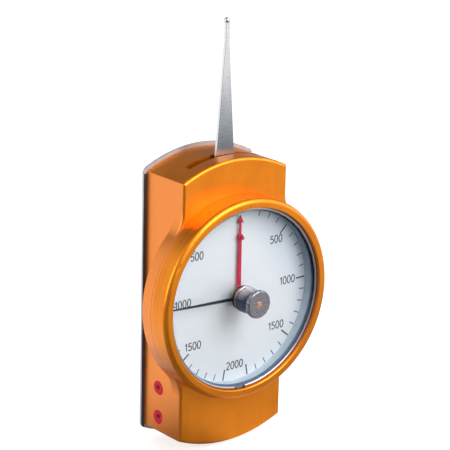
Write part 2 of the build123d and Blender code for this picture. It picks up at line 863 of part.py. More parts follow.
# ---- Drag hand and knob ----

def drag_hand():
    root = drag_root_width / 2
    tip = drag_tip_width / 2
    blade = make_face(Polyline((-root, 0), (-tip, drag_length), (tip, drag_length), (root, 0), close=True))
    outline = blade + Circle(drag_eye_radius) - Circle(spindle_stub_radius)
    return Rot(0, drag_rest_angle, 0) * slab(outline, flange_back, drag_back)


def drag_spindle():
    front = knob_front + knob_end_wall
    hole = front + knob_screw_length - knob_end_wall + knob_screw_head_height
    return turned(
        (knob_screw_radius, front), (spindle_radius, front), (spindle_radius, washer_back),
        (spindle_flange_radius, washer_back), (spindle_flange_radius, flange_back),
        (spindle_stub_radius, flange_back), (spindle_stub_radius, drag_back), (0, drag_back),
        (0, hole), (knob_screw_radius, hole))


def friction_washer():
    return tube(washer_radius, spindle_radius, glass_back + face_gap, washer_back)


# Knurled head with smooth edges on a barrel-shaped neck, with a recess for the screw in its front.
def knob():
    outer = knob_radius
    inner = knob_radius - knob_ridge_depth
    points = []
    for number in range(2 * knob_ridges):
        radius = inner if number % 2 else outer
        angle = pi * number / knob_ridges
        points.append((radius * cos(angle), radius * sin(angle)))
    land = knob_land_width
    band = slab(make_face(Polyline(*points, close=True)), knob_front + land, knob_shoulder - land)
    core = turned(
        (0, knob_front), (inner - land, knob_front), (inner, knob_front + land),
        (inner, knob_shoulder), (0, knob_shoulder))
    groove = knob_back - knob_groove_height
    middle = ((knob_foot_radius + knob_waist_radius) / 2 + knob_neck_bulge, (knob_shoulder + groove) / 2)
    waist, foot = (knob_waist_radius, knob_shoulder), (knob_foot_radius, groove)
    barrel_side = ThreePointArc(waist, middle, foot)
    rest = Polyline(foot, (knob_groove_radius, groove), (knob_groove_radius, knob_back),
                    (0, knob_back), (0, knob_shoulder), waist)
    body = band + core + revolve(make_face([barrel_side, rest]), Axis.Y)
    body -= disc(spindle_radius, knob_front + knob_end_wall, knob_back)
    body -= disc(knob_screw_radius, knob_front, knob_back)
    body -= disc(knob_screw_head_radius, knob_front, knob_front + knob_screw_head_height)
    return body


def knob_screw():
    top = knob_front - knob_screw_rise
    seat = knob_front + knob_screw_head_height
    tip = knob_front + knob_screw_length + knob_screw_head_height
    screw = turned(
        (0, top), (knob_screw_head_radius - knob_screw_edge, top),
        (knob_screw_head_radius, top + knob_screw_edge), (knob_screw_head_radius, seat),
        (knob_screw_radius, seat), (knob_screw_radius, tip), (0, tip))
    cut = Pos(0, top, 0) * Rot(0, slot_turns[-1], 0) * Box(
        3 * knob_screw_head_radius, slot_cut_depth, knob_screw_slot)
    return screw - cut


makers = [
    housing, back_plate, back_plate_screws, retaining_ring, crystal, rehaut_ring, dial, crystal_bush,
    front_plate, stop_pins, pillars, rear_bridge, bridge_screws, pinion_cock, cock_screws,
    lever_front_bush, lever_rear_bush, pointer_front_bush, pointer_rear_bush,
    feeler_blade, feeler_ball, lever_arbor, lever_hub, lever_collar, gear_sector, spring_pins,
    pinion, pointer_arbor, pointer_hub, pointer_hand, drive_pin, hairspring_collet, hairspring,
    hairspring_stud, spring_block, leaf_spring, spring_clamp, clamp_screws, side_screws, seal_lacquer,
    drag_hand, drag_spindle, friction_washer, knob, knob_screw,
]

os.makedirs("parts", exist_ok=True)
for maker in makers:
    piece = maker()
    piece.label = maker.__name__
    export_step(piece, f"parts/{maker.__name__}.step")
    print(maker.__name__, round(piece.volume, 2))
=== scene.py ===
import bpy
import json
import numpy as np
from mathutils import Matrix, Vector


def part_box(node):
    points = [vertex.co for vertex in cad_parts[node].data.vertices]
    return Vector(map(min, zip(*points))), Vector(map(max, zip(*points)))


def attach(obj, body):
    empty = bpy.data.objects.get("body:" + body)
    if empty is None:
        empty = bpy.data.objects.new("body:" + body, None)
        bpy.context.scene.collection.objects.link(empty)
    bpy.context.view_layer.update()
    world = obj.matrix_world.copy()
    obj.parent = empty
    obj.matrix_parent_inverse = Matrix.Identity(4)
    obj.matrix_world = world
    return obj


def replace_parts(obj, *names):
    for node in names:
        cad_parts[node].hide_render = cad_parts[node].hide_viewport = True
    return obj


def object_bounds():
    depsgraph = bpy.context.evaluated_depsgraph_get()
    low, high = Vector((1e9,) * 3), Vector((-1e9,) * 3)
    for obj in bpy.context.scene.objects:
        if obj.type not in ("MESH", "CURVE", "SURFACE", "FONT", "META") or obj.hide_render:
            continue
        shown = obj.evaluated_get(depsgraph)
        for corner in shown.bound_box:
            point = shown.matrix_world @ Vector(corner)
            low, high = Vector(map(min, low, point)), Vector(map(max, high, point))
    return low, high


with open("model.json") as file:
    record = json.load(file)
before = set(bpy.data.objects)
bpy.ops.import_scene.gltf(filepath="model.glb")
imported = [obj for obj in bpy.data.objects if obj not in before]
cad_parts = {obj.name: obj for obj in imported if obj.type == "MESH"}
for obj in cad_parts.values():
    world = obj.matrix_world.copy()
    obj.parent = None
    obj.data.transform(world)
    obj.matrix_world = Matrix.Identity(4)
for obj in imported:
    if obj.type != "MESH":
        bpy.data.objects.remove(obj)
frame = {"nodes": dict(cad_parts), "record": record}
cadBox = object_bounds()
mm = 0.001
print("frame:", len(frame["nodes"]), "CAD nodes")


# Puts a number, a colour, a node's output or a Value into a shader socket.
def plug(tree, value, socket):
    value = value.socket if isinstance(value, Value) else value
    if isinstance(value, bpy.types.NodeSocket):
        tree.links.new(value, socket)
    else:
        socket.default_value = value


# One number of the shader; arithmetic on it adds Math nodes to the tree.
class Value:
    def __init__(self, tree, socket):
        self.tree, self.socket = tree, socket

    def math(self, operation, *numbers):
        node = self.tree.nodes.new("ShaderNodeMath")
        node.operation = operation
        for number, socket in zip(numbers, node.inputs):
            plug(self.tree, number, socket)
        return Value(self.tree, node.outputs[0])

    def __add__(self, other):
        return self.math("ADD", self, other)

    def __sub__(self, other):
        return self.math("SUBTRACT", self, other)

    def __rsub__(self, other):
        return self.math("SUBTRACT", other, self)

    def __mul__(self, other):
        return self.math("MULTIPLY", self, other)

    def __truediv__(self, other):
        return self.math("DIVIDE", self, other)

    def __pow__(self, other):
        return self.math("POWER", self, other)

    __radd__, __rmul__ = __add__, __mul__

    # 1 above the edge and 0 below it; under is its opposite
    def over(self, edge):
        return self.math("GREATER_THAN", self, edge)

    def under(self, edge):
        return self.math("LESS_THAN", self, edge)

    def clamped(self):
        return self.math("MINIMUM", self.math("MAXIMUM", self, 0.0), 1.0)

    # Noise from 0 to 1 as a swing round 0, so wide from end to end
    def sway(self, width):
        return (self - 0.5) * width

    # 0 below low, 1 above high and a smooth step between them
    def rise(self, low, high):
        share = ((self - low) / (high - low)).clamped()
        return share * share * (3.0 - 2.0 * share)


# How far x, y and z reach along a way, which gives the weight of each
def along(axes, way):
    first, *others = (axis * weight for axis, weight in zip(axes, way))
    return sum(others, first)


# A finish is one material: a Principled shader, with patterns read in millimetres.
class Finish:
    def __init__(self, name, **constants):
        self.material = bpy.data.materials.new(name)
        self.material.use_nodes = True
        self.tree = self.material.node_tree
        self.shader = self.tree.nodes["Principled BSDF"]
        for key, number in constants.items():
            self.shader.inputs[key.replace("_", " ")].default_value = number
        place = self.add("ShaderNodeTexCoord").outputs["Object"]
        scaled = {0: place, "Scale": 1 / mm}
        self.place = self.add("ShaderNodeVectorMath", {"operation": "SCALE"}, scaled).outputs[0]
        axes = self.add("ShaderNodeSeparateXYZ", sockets={0: self.place}).outputs
        self.x, self.y, self.z = (Value(self.tree, axis) for axis in axes)

    # Any node: its type, the settings that are made first, and what goes into its sockets.
    def add(self, kind, settings=None, sockets=None):
        node = self.tree.nodes.new(kind)
        for key, setting in (settings or {}).items():
            setattr(node, key, setting)
        for key, value in (sockets or {}).items():
            plug(self.tree, value, node.inputs[key])
        return node

    # Noise from 0 to 1, with so many waves for each millimetre along x, y and z. Another shift
    # gives another pattern.
    def grain(self, waves, detail=2.0, rough=0.5, shift=0.0):
        stretch = {0: self.place, 1: waves}
        stretched = self.add("ShaderNodeVectorMath", {"operation": "MULTIPLY"}, stretch).outputs[0]
        moved = self.add("ShaderNodeVectorMath", sockets={0: stretched, 1: (shift, shift, shift)})
        noise = self.add("ShaderNodeTexNoise", {"noise_dimensions": "3D"}, {
            "Vector": moved.outputs[0], "Scale": 1.0, "Detail": detail, "Roughness": rough})
        return Value(self.tree, noise.outputs[0])

    # Lines round the Y axis: noise over the distance from it and over y, as a lathe leaves them.
    def rings(self, waves):
        line = self.add("ShaderNodeCombineXYZ", sockets={
            0: self.fromAxis() * waves, 1: self.y * waves})
        noise = self.add("ShaderNodeTexNoise", {"noise_dimensions": "2D"}, {
            "Vector": line.outputs[0], "Scale": 1.0, "Detail": 1.0, "Roughness": 0.5})
        return Value(self.tree, noise.outputs[0])

    # Mixes two colours, each of them a tuple or a socket.
    def tint(self, share, first, second):
        mix = self.add("ShaderNodeMix", {"data_type": "RGBA"}, {"Factor": share})
        for key, colour in (("A", first), ("B", second)):
            socket = next(s for s in mix.inputs if s.name == key and s.type == "RGBA")
            plug(self.tree, (*colour, 1.0) if isinstance(colour, tuple) else colour, socket)
        return next(s for s in mix.outputs if s.type == "RGBA")

    # Distance from the Y axis, which is the dial's, in millimetres
    def fromAxis(self):
        return (self.x * self.x + self.z * self.z) ** 0.5

    # Distance from an upright line through (x, y), in millimetres
    def awayInPlan(self, x, y):
        across, deep = self.x - x, self.y - y
        return (across * across + deep * deep) ** 0.5

    # Mixes two shaders.
    def blend(self, share, first, second):
        return self.add("ShaderNodeMixShader", sockets={0: share, 1: first, 2: second}).outputs[0]

    # Gives the surface a mix of two shaders in place of the Principled shader alone.
    def finishWith(self, share, first, second):
        surface = self.tree.nodes["Material Output"].inputs["Surface"]
        plug(self.tree, self.blend(share, first, second), surface)

    # Relief that stands out by depth millimetres where the height is 1
    def bump(self, height, depth):
        bump = self.add("ShaderNodeBump", sockets={"Height": height, "Distance": depth * mm})
        self.set("Normal", bump.outputs[0])

    def set(self, key, value):
        plug(self.tree, value, self.shader.inputs[key])


# Satin anodised aluminium: turned lines round the drum, milled strokes up the flat sides and a
# fine blasted grain everywhere; the sides are painted a little paler than the rest, a painted
# sheen of the lamp and backdrop at the left.
def anodisedOrange():
    looks = {
        "deep": (0.68, 0.178, 0.004), "bright": (0.91, 0.290, 0.012),
        "milledAndPaintedSheen": (0.86, 0.265, 0.055), "paintedSheenShare": 0.85,
        "cloudWaves": (0.09, 0.09, 0.09), "blastWaves": (8.0, 8.0, 8.0),
        "milledWaves": (3.0, 3.4, 0.06), "turnedWaves": 6.0, "frontLines": 0.4,
        "cloudTint": 1.1, "lineTint": 0.9, "blastTint": 0.5,
        "satin": 0.36, "drumRough": -0.06, "cloudRough": 0.08, "lineRough": 0.2, "blastRough": 0.14,
        "bump": 0.010, "lineBump": 2.5, "blastBump": 0.6,
        "sideWall": 19.3, "drum": 30.4, "outside": 30.9, "rim": 27.9, "rimBack": -19.5,
    }
    metal = Finish("anodisedOrange", Metallic=0.84, Coat_Weight=0.07, Coat_Roughness=0.28)
    cloud = metal.grain(looks["cloudWaves"], detail=3.0)
    blast = metal.grain(looks["blastWaves"], detail=1.0)
    milledAndPaintedSheen = metal.grain(looks["milledWaves"], detail=2.0, shift=7.0)
    turned = metal.rings(looks["turnedWaves"])
    away = metal.fromAxis()
    beside = (metal.x * metal.x).over(looks["sideWall"] ** 2)
    onRim = away.over(looks["rim"]) * metal.y.under(looks["rimBack"])
    onDrum = (away.over(looks["drum"]) * away.under(looks["outside"]) + onRim).clamped()
    onWall = (beside - onDrum).clamped()
    # painted sheen: the side walls and the drum's flanks beside them are painted paler, standing in
    # for the white sheen of the lamp and backdrop at the left
    paintedSheen = (beside - onRim).clamped()
    front = looks["frontLines"]
    strokes = (front + onWall * (1.0 - front) - onDrum * front).clamped()
    lines = strokes * (milledAndPaintedSheen - 0.5) + onDrum * (turned - 0.5)
    share = 0.5 + cloud.sway(looks["cloudTint"]) + blast.sway(looks["blastTint"])
    share = (share + lines * looks["lineTint"]).clamped()
    plain = metal.tint(share, looks["deep"], looks["bright"])
    metal.set("Base Color", metal.tint(paintedSheen * looks["paintedSheenShare"], plain, looks["milledAndPaintedSheen"]))
    rough = looks["satin"] + onDrum * looks["drumRough"] + lines * looks["lineRough"]
    rough = rough + cloud.sway(looks["cloudRough"]) + blast.sway(looks["blastRough"])
    metal.set("Roughness", rough.clamped())
    metal.bump(blast * looks["blastBump"] + lines * looks["lineBump"], looks["bump"])
    return metal.material


# Sheet steel with short fine scratches and a few wide smears, with painted shade on the front of
# its margin beside the block, standing in for the shade in the narrow corner there
def polishedPlate():
    looks = {
        "steel": (0.66, 0.68, 0.72), "dull": (0.34, 0.35, 0.39), "joint": (0.020, 0.022, 0.028),
        "smearWaves": (0.16, 0.16, 0.09), "scratchWaves": (5.0, 5.0, 0.35),
        "smearTint": 0.5, "scratchTint": 0.6,
        "polish": 0.40, "smearRough": 0.12, "scratchRough": 0.16,
        "smearSpan": (0.35, 0.7), "roughSpan": (0.5, 0.8), "bump": 0.004,
        "paintedCornerShadeShare": 0.9, "paintedCornerShadeDepth": 0.06, "beside": 19.3, "top": 36.0,
    }
    metal = Finish("polishedPlate", Metallic=0.15)
    smear = metal.grain(looks["smearWaves"], detail=3.0)
    scratch = metal.grain(looks["scratchWaves"], detail=2.0, shift=5.0)
    share = smear.rise(*looks["smearSpan"]) * looks["smearTint"] + scratch * looks["scratchTint"]
    steel = metal.tint(share.clamped(), looks["dull"], looks["steel"])
    # painted shade: the front of the plate's margin beside the block is painted nearly black, for
    # the shade in the narrow corner there
    onFront = metal.y.under(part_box("back_plate")[0].y / mm + looks["paintedCornerShadeDepth"])
    beside = (metal.x * metal.x).over(looks["beside"] ** 2) * metal.z.under(looks["top"])
    joint = onFront * beside * looks["paintedCornerShadeShare"]
    metal.set("Base Color", metal.tint(joint, steel, looks["joint"]))
    rough = looks["polish"] + smear.rise(*looks["roughSpan"]) * looks["smearRough"]
    metal.set("Roughness", rough + scratch * looks["scratchRough"])
    metal.bump(scratch, looks["bump"])
    return metal.material


groundLooks = {
    "darker": 0.72, "cloudWaves": (0.3, 0.3, 0.3), "cloudTint": 0.6, "strokeTint": 0.5,
    "strokeRough": 0.16, "bump": 0.004,
}


# Plain metal with the strokes that its waves give, in one colour and a darker shade of it
def groundSteel(name, colour, satin, waves):
    metal = Finish(name, Metallic=1.0)
    strokes = metal.grain(waves, detail=2.0)
    cloud = metal.grain(groundLooks["cloudWaves"], detail=2.0, shift=2.0)
    dark = tuple(groundLooks["darker"] * part for part in colour)
    share = (cloud * groundLooks["cloudTint"] + strokes * groundLooks["strokeTint"]).clamped()
    metal.set("Base Color", metal.tint(share, dark, colour))
    metal.set("Roughness", satin + strokes.sway(groundLooks["strokeRough"]))
    metal.bump(strokes, groundLooks["bump"])
    return metal.material


# Blade ground across its length, with a painted reflection that makes it darker towards its root
# and brighter towards its tip; its two narrow sides are polished, with a dark line along the
# edges. Front, edge and back are depths behind the blade's front face.
def bladeSteel():
    looks = {
        "low": (0.20, 0.22, 0.25), "high": (0.78, 0.79, 0.81), "root": 40.0, "tip": 74.0,
        "side": (0.74, 0.75, 0.77), "line": (0.06, 0.07, 0.08), "lineShare": 0.9,
        "edge": 0.02, "front": 0.16, "back": 1.03,
        "acrossWaves": (0.4, 0.4, 7.0), "cloudWaves": (0.25, 0.25, 0.12),
        "acrossTint": 0.4, "cloudTint": 0.3, "satin": 0.26, "acrossRough": 0.20, "bump": 0.005,
    }
    metal = Finish("bladeSteel", Metallic=1.0)
    across = metal.grain(looks["acrossWaves"], detail=2.0)
    cloud = metal.grain(looks["cloudWaves"], detail=2.0, shift=2.0)
    # painted reflection: darker towards the root, brighter towards the tip
    share = metal.z.rise(looks["root"], looks["tip"])
    share = (share + across.sway(looks["acrossTint"]) + cloud.sway(looks["cloudTint"])).clamped()
    ground = metal.tint(share, looks["low"], looks["high"])
    behind = metal.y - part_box("feeler_blade")[0].y / mm
    onSide = behind.over(looks["front"])
    onLine = (behind.over(looks["edge"]) * (1.0 - onSide) + behind.over(looks["back"])).clamped()
    plain = metal.tint(onSide, ground, looks["side"])
    metal.set("Base Color", metal.tint(onLine * looks["lineShare"], plain, looks["line"]))
    metal.set("Roughness", looks["satin"] + across.sway(looks["acrossRough"]))
    metal.bump(across, looks["bump"])
    return metal.material


# Turned and plated: a dark mirror on the neck, with a painted reflection that is dark low down and
# bright towards its top; the knurled edge and the ground face are dull and paler. Head is the depth
# of the knurled head behind the knob's front.
def turnedNickel():
    looks = {
        "bright": (0.44, 0.42, 0.42), "wearAndPaintedShade": (0.05, 0.07, 0.11), "low": 0.3, "high": 4.0,
        "face": (0.42, 0.41, 0.43), "dark": (0.10, 0.10, 0.13), "head": 1.52,
        "turnedWaves": 9.0, "speckWaves": (3.2, 3.2, 3.2), "speckSpan": (0.35, 0.62),
        "paintedLightByHeight": 0.7, "speckTint": 0.4, "speckMiddle": 0.9,
        "gloss": 0.09, "headRough": 0.28, "turnedRough": 0.10, "bump": 0.008, "speckBump": 0.8,
    }
    metal = Finish("turnedNickel", Metallic=1.0)
    turned = metal.rings(looks["turnedWaves"])
    speck = metal.grain(looks["speckWaves"], detail=2.0, shift=9.0)
    knurled = metal.y.under(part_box("knob")[0].y / mm + looks["head"])
    # painted reflection on the neck: dark low down, bright towards its top
    share = metal.z.rise(looks["low"], looks["high"]) * looks["paintedLightByHeight"]
    share = share + (turned + speck - looks["speckMiddle"]) * looks["speckTint"]
    plain = metal.tint(share.clamped(), looks["wearAndPaintedShade"], looks["bright"])
    dull = metal.tint(speck.rise(*looks["speckSpan"]), looks["dark"], looks["face"])
    metal.set("Base Color", metal.tint(knurled, plain, dull))
    rough = looks["gloss"] + knurled * looks["headRough"] + turned.sway(looks["turnedRough"])
    metal.set("Roughness", rough)
    metal.bump(turned + knurled * speck * looks["speckBump"], looks["bump"])
    return metal.material


# Tempered spring steel, blue with clouds of straw
def blueSpring():
    looks = {
        "blue": (0.045, 0.07, 0.17), "straw": (0.16, 0.13, 0.12), "gloss": 0.24, "cloudRough": 0.12,
        "cloudWaves": (0.4, 0.4, 0.2), "cloudSpan": (0.35, 0.75),
        "lineWaves": (5.0, 5.0, 0.3), "bump": 0.003,
    }
    metal = Finish("blueSpring", Metallic=1.0)
    cloud = metal.grain(looks["cloudWaves"], detail=2.0)
    straw = cloud.rise(*looks["cloudSpan"])
    metal.set("Base Color", metal.tint(straw, looks["blue"], looks["straw"]))
    metal.set("Roughness", looks["gloss"] + cloud * looks["cloudRough"])
    metal.bump(metal.grain(looks["lineWaves"], detail=1.0), looks["bump"])
    return metal.material


# Clear plate that lets the lamps through to the dial; its edge is ground and blue-grey
def clearPane():
    looks = {
        "thin": (0.97, 0.985, 0.99), "full": (1.0, 1.0, 1.0), "tintWaves": (0.1, 0.1, 0.1),
        "polish": 0.005, "haze": 0.03, "hazeWaves": (0.5, 0.5, 0.5), "hazeSpan": (0.45, 0.8),
        "reflection": (0.2, 0.2, 0.2, 1.0),
        "shadow": (0.97, 0.98, 0.99, 1.0), "edge": (0.22, 0.31, 0.40, 1.0), "edgeWidth": 0.05,
    }
    pane = Finish("clearPane", IOR=1.49, Transmission_Weight=1.0, Specular_Tint=looks["reflection"])
    pane.set("Base Color", pane.tint(pane.grain(looks["tintWaves"]), looks["thin"], looks["full"]))
    haze = pane.grain(looks["hazeWaves"], detail=3.0).rise(*looks["hazeSpan"])
    pane.set("Roughness", looks["polish"] + haze * looks["haze"])
    thin = pane.add("ShaderNodeBsdfTransparent", sockets={"Color": looks["shadow"]}).outputs[0]
    shadowRay = pane.add("ShaderNodeLightPath").outputs["Is Shadow Ray"]
    ground = pane.add("ShaderNodeBsdfDiffuse", sockets={"Color": looks["edge"]}).outputs[0]
    onEdge = pane.fromAxis().over(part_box("crystal")[1].x / mm - looks["edgeWidth"])
    pane.finishWith(onEdge, pane.blend(shadowRay, pane.shader.outputs[0], thin), ground)
    return pane.material


# Painted ring round the dial: grey-blue, with painted shade that makes it deeper towards the top
# and towards the front, a thin dark line of painted shade at the wall's front edge and a plain
# front face under the glass
def rehautPaint():
    looks = {
        "deep": (0.050, 0.120, 0.200), "pale": (0.42, 0.49, 0.55), "low": -14.0, "high": 15.0,
        "paintedLipShade": (0.025, 0.060, 0.110), "lipHeight": 0.18, "lipBlur": 0.12,
        "face": (0.34, 0.46, 0.62), "wall": 1.05,
        "fineWaves": (1.2, 6.0, 1.2), "paintedLightByHeight": 0.75, "paintedShadeByDepth": 0.25, "fineTint": 0.4,
        "satin": 0.36, "fineRough": 0.12, "bump": 0.004,
    }
    paint = Finish("rehautPaint", Metallic=0.15)
    fine = paint.grain(looks["fineWaves"], detail=2.0)
    near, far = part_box("rehaut_ring")
    front, back = near.y / mm, far.y / mm
    # painted shade: the wall is darker towards the top and towards the front, where the rim shades
    # it
    share = (1.0 - paint.z.rise(looks["low"], looks["high"])) * looks["paintedLightByHeight"]
    share = share + paint.y.rise(front, back) * looks["paintedShadeByDepth"] + fine.sway(looks["fineTint"])
    wall = paint.tint(share.clamped(), looks["deep"], looks["pale"])
    # painted shade: a thin dark line at the wall's front edge, next to the glass
    lipBack = front + looks["lipHeight"]
    paintedLipShade = paint.y.rise(lipBack, lipBack + looks["lipBlur"])
    onWall = paint.fromAxis().under(far.x / mm - looks["wall"])
    paint.set("Base Color", paint.tint(onWall, looks["face"], paint.tint(paintedLipShade, looks["paintedLipShade"], wall)))
    paint.set("Roughness", looks["satin"] + fine * looks["fineRough"])
    paint.bump(fine, looks["bump"])
    return paint.material


# Silvered sheet, brushed from side to side, with painted shade that makes it cooler and darker
# towards its upper right edge, under the rim
def silveredDial():
    looks = {
        "silver": (0.76, 0.785, 0.82), "paintedRimShade": (0.50, 0.58, 0.67), "paintedRimShadeWay": (0.75, 0.55),
        "from": 10.0, "to": 27.0, "brushWaves": (0.10, 2.0, 5.0), "cloudWaves": (0.05, 0.05, 0.05),
        "paintedRimShadeTint": 0.8, "brushTint": 0.45, "cloudTint": 0.3,
        "satin": 0.36, "brushRough": 0.18, "bump": 0.004,
    }
    silver = Finish("silveredDial", Metallic=0.4)
    brush = silver.grain(looks["brushWaves"], detail=3.0, rough=0.6)
    cloud = silver.grain(looks["cloudWaves"], detail=2.0, shift=4.0)
    # painted shade: cooler and darker towards the upper right edge, under the rim
    edge = along((silver.x, silver.z), looks["paintedRimShadeWay"]).rise(looks["from"], looks["to"])
    share = edge * looks["paintedRimShadeTint"] + brush.sway(looks["brushTint"])
    share = (share + cloud.sway(looks["cloudTint"])).clamped()
    silver.set("Base Color", silver.tint(share, looks["silver"], looks["paintedRimShade"]))
    silver.set("Roughness", looks["satin"] + brush * looks["brushRough"])
    silver.bump(brush, looks["bump"])
    return silver.material


lacquerLooks = {
    "cloudWaves": (0.5, 0.5, 0.5), "cloudSpan": (0.3, 0.7),
    "peelWaves": (2.5, 2.5, 2.5), "peelRough": 0.12, "bump": 0.008,
}


# Lacquer of the hands, from a shade to a colour in soft clouds
def lacquer(name, colour, shade, gloss):
    paint = Finish(name, Specular_IOR_Level=0.25)
    cloud = paint.grain(lacquerLooks["cloudWaves"], detail=3.0)
    peel = paint.grain(lacquerLooks["peelWaves"], detail=1.0, shift=6.0)
    paint.set("Base Color", paint.tint(cloud.rise(*lacquerLooks["cloudSpan"]), shade, colour))
    paint.set("Roughness", gloss + peel.sway(lacquerLooks["peelRough"]))
    paint.bump(peel, lacquerLooks["bump"])
    return paint.material


# The finish of the drops reads these sizes, and so does their shape further down. A wave or lump
# has its count round the drop, its size and what it turns with the drop's seed.
sealDrops = {
    "radius": 2.40, "rise": 0.17, "sink": 0.29, "pit": 0.19, "pitWidth": 0.42,
    "rings": 22, "spokes": 64, "heights": (-28.8, -38.1), "seeds": (1.3, 3.5),
    "back": 7.95, "wall": -19.4,
    "edge": 0.93, "edgeWaves": ((2, 0.035, 1.0), (3, 0.02, 2.1), (7, 0.012, 0.7)),
    "lump": 0.78, "sideLump": ((1, 0.22, 1.7),), "fineLump": ((5, 0.12, 1.0),),
    "pitAside": (0.14, 0.12), "pitFlatness": 1.5,
}


# Thick red lacquer, with painted shade that makes it nearly black where the drop dips into the
# screw's hole
def sealingLacquer():
    looks = {
        "red": (0.66, 0.003, 0.034), "deep": (0.13, 0.001, 0.010), "above": -0.05, "below": 0.10,
        "cloudWaves": (1.1, 1.1, 1.1), "cloudSpan": (0.5, 0.75), "cloudTint": 0.35,
        "gloss": 0.30, "cloudRough": 0.15, "bump": 0.03,
    }
    paint = Finish("sealingLacquer", Specular_IOR_Level=0.20)
    # painted shade: nearly black where the drop dips into the screw's hole
    paintedPitShade = (paint.x - sealDrops["wall"]).rise(looks["above"], looks["below"])
    cloud = paint.grain(looks["cloudWaves"], detail=3.0)
    share = (paintedPitShade + cloud.rise(*looks["cloudSpan"]) * looks["cloudTint"]).clamped()
    paint.set("Base Color", paint.tint(share, looks["red"], looks["deep"]))
    paint.set("Roughness", looks["gloss"] + cloud * looks["cloudRough"])
    paint.bump(cloud, looks["bump"])
    return paint.material


# Matt ink of the dial's print, worn thin in places
def printInk():
    looks = {
        "ink": (0.008, 0.014, 0.026), "wearAndPaintedShade": (0.030, 0.042, 0.062),
        "waves": (1.5, 1.5, 1.5), "span": (0.35, 0.85), "rough": 0.5, "wornRough": 0.2,
    }
    ink = Finish("printInk")
    fade = ink.grain(looks["waves"], detail=3.0)
    ink.set("Base Color", ink.tint(fade.rise(*looks["span"]), looks["ink"], looks["wearAndPaintedShade"]))
    ink.set("Roughness", looks["rough"] + fade * looks["wornRough"])
    return ink.material


# One finish for each material slot, and a few pieces that have their own
finishes = {
    "orange_anodised": anodisedOrange(),
    "polished_steel": polishedPlate(),
    "steel": groundSteel("groundSteel", (0.56, 0.57, 0.59), 0.28, (1.5, 5.0, 1.5)),
    "blade_steel": bladeSteel(),
    "screw_steel": groundSteel("screwSteel", (0.52, 0.53, 0.55), 0.25, (5.0, 2.0, 5.0)),
    "spring_steel": blueSpring(),
    "brass": groundSteel("groundBrass", (0.76, 0.53, 0.22), 0.27, (1.2, 4.0, 5.0)),
    "clear_glass": clearPane(),
    "rehaut_paint": rehautPaint(),
    "silvered_dial": silveredDial(),
    "red_lacquer": lacquer("redLacquer", (0.60, 0.003, 0.048), (0.44, 0.002, 0.028), 0.42),
    "black_lacquer": lacquer("blackLacquer", (0.008, 0.018, 0.030), (0.004, 0.008, 0.014), 0.45),
    "sealing_lacquer": sealingLacquer(),
    "turned_nickel": turnedNickel(),
    "washer_metal": groundSteel("washerMetal", (0.72, 0.47, 0.38), 0.30, (2.0, 2.0, 2.0)),
}
ownFinish = {
    "knob_screw": groundSteel("copperScrew", (0.74, 0.44, 0.34), 0.26, (3.0, 3.0, 3.0)),
    "retaining_ring": groundSteel("springRing", (0.42, 0.43, 0.50), 0.20, (2.0, 2.0, 2.0)),
    "crystal_bush": groundSteel("bushBronze", (0.50, 0.36, 0.34), 0.22, (0.8, 9.0, 0.8)),
    "feeler_ball": groundSteel("ballSteel", (0.62, 0.62, 0.64), 0.10, (3.0, 3.0, 3.0)),
    "drive_pin": finishes["red_lacquer"],
}
slotOf = {part["node"]: part["material_slot"] for part in frame["record"]["subparts"]}
for nodeName, piece in frame["nodes"].items():
    chosen = ownFinish.get(nodeName, finishes[slotOf[nodeName]])
    for place in piece.material_slots:
        place.material = chosen
print("finishes:", len(finishes) + len(ownFinish))


# Makes a mesh piece from points in millimetres, and lets it ride on a body
def makePiece(name, points, faces, material, body, smooth=False):
    mesh = bpy.data.meshes.new(name)
    mesh.from_pydata((np.asarray(points) * mm).tolist(), [], faces)
    mesh.validate()
    if smooth:
        mesh.polygons.foreach_set("use_smooth", np.ones(len(mesh.polygons), bool))
    mesh.materials.append(material)
    piece = bpy.data.objects.new(name, mesh)
    bpy.context.scene.collection.objects.link(piece)
    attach(piece, body)
    return piece


# Boxes given by eight corners each: an array of shape (count, 8, 3), front corners first.
def boxFaces(count):
    one = np.array([
        [0, 1, 2, 3], [7, 6, 5, 4], [0, 4, 5, 1], [1, 5, 6, 2], [2, 6, 7, 3], [3, 7, 4, 0]])
    return (one[None] + 8 * np.arange(count)[:, None, None]).reshape(-1, 4).tolist()


# Lengths are in millimetres, and the dial's marks in thousands. Each numeral on the right has its
# middle here; those on the left are its mirror image, moved by leftShift.
dialPrint = {
    "curve": (90.3, -2.7), "first": 0.2, "last": 2.0, "step": 0.1, "long": 0.5,
    "outer": 26.4, "innerLong": 23.0, "innerShort": 24.5, "widthLong": 0.46, "widthShort": 0.30,
    "thickness": 0.02, "height": 2.35, "gap": 0.17, "stroke": 0.33,
    "numerals": {"500": (14.6, 14.9), "1000": (19.5, 1.2), "1500": (15.5, -12.5)},
    "bottom": ("2000", (-0.3, -21.8)), "leftShift": -0.8,
}


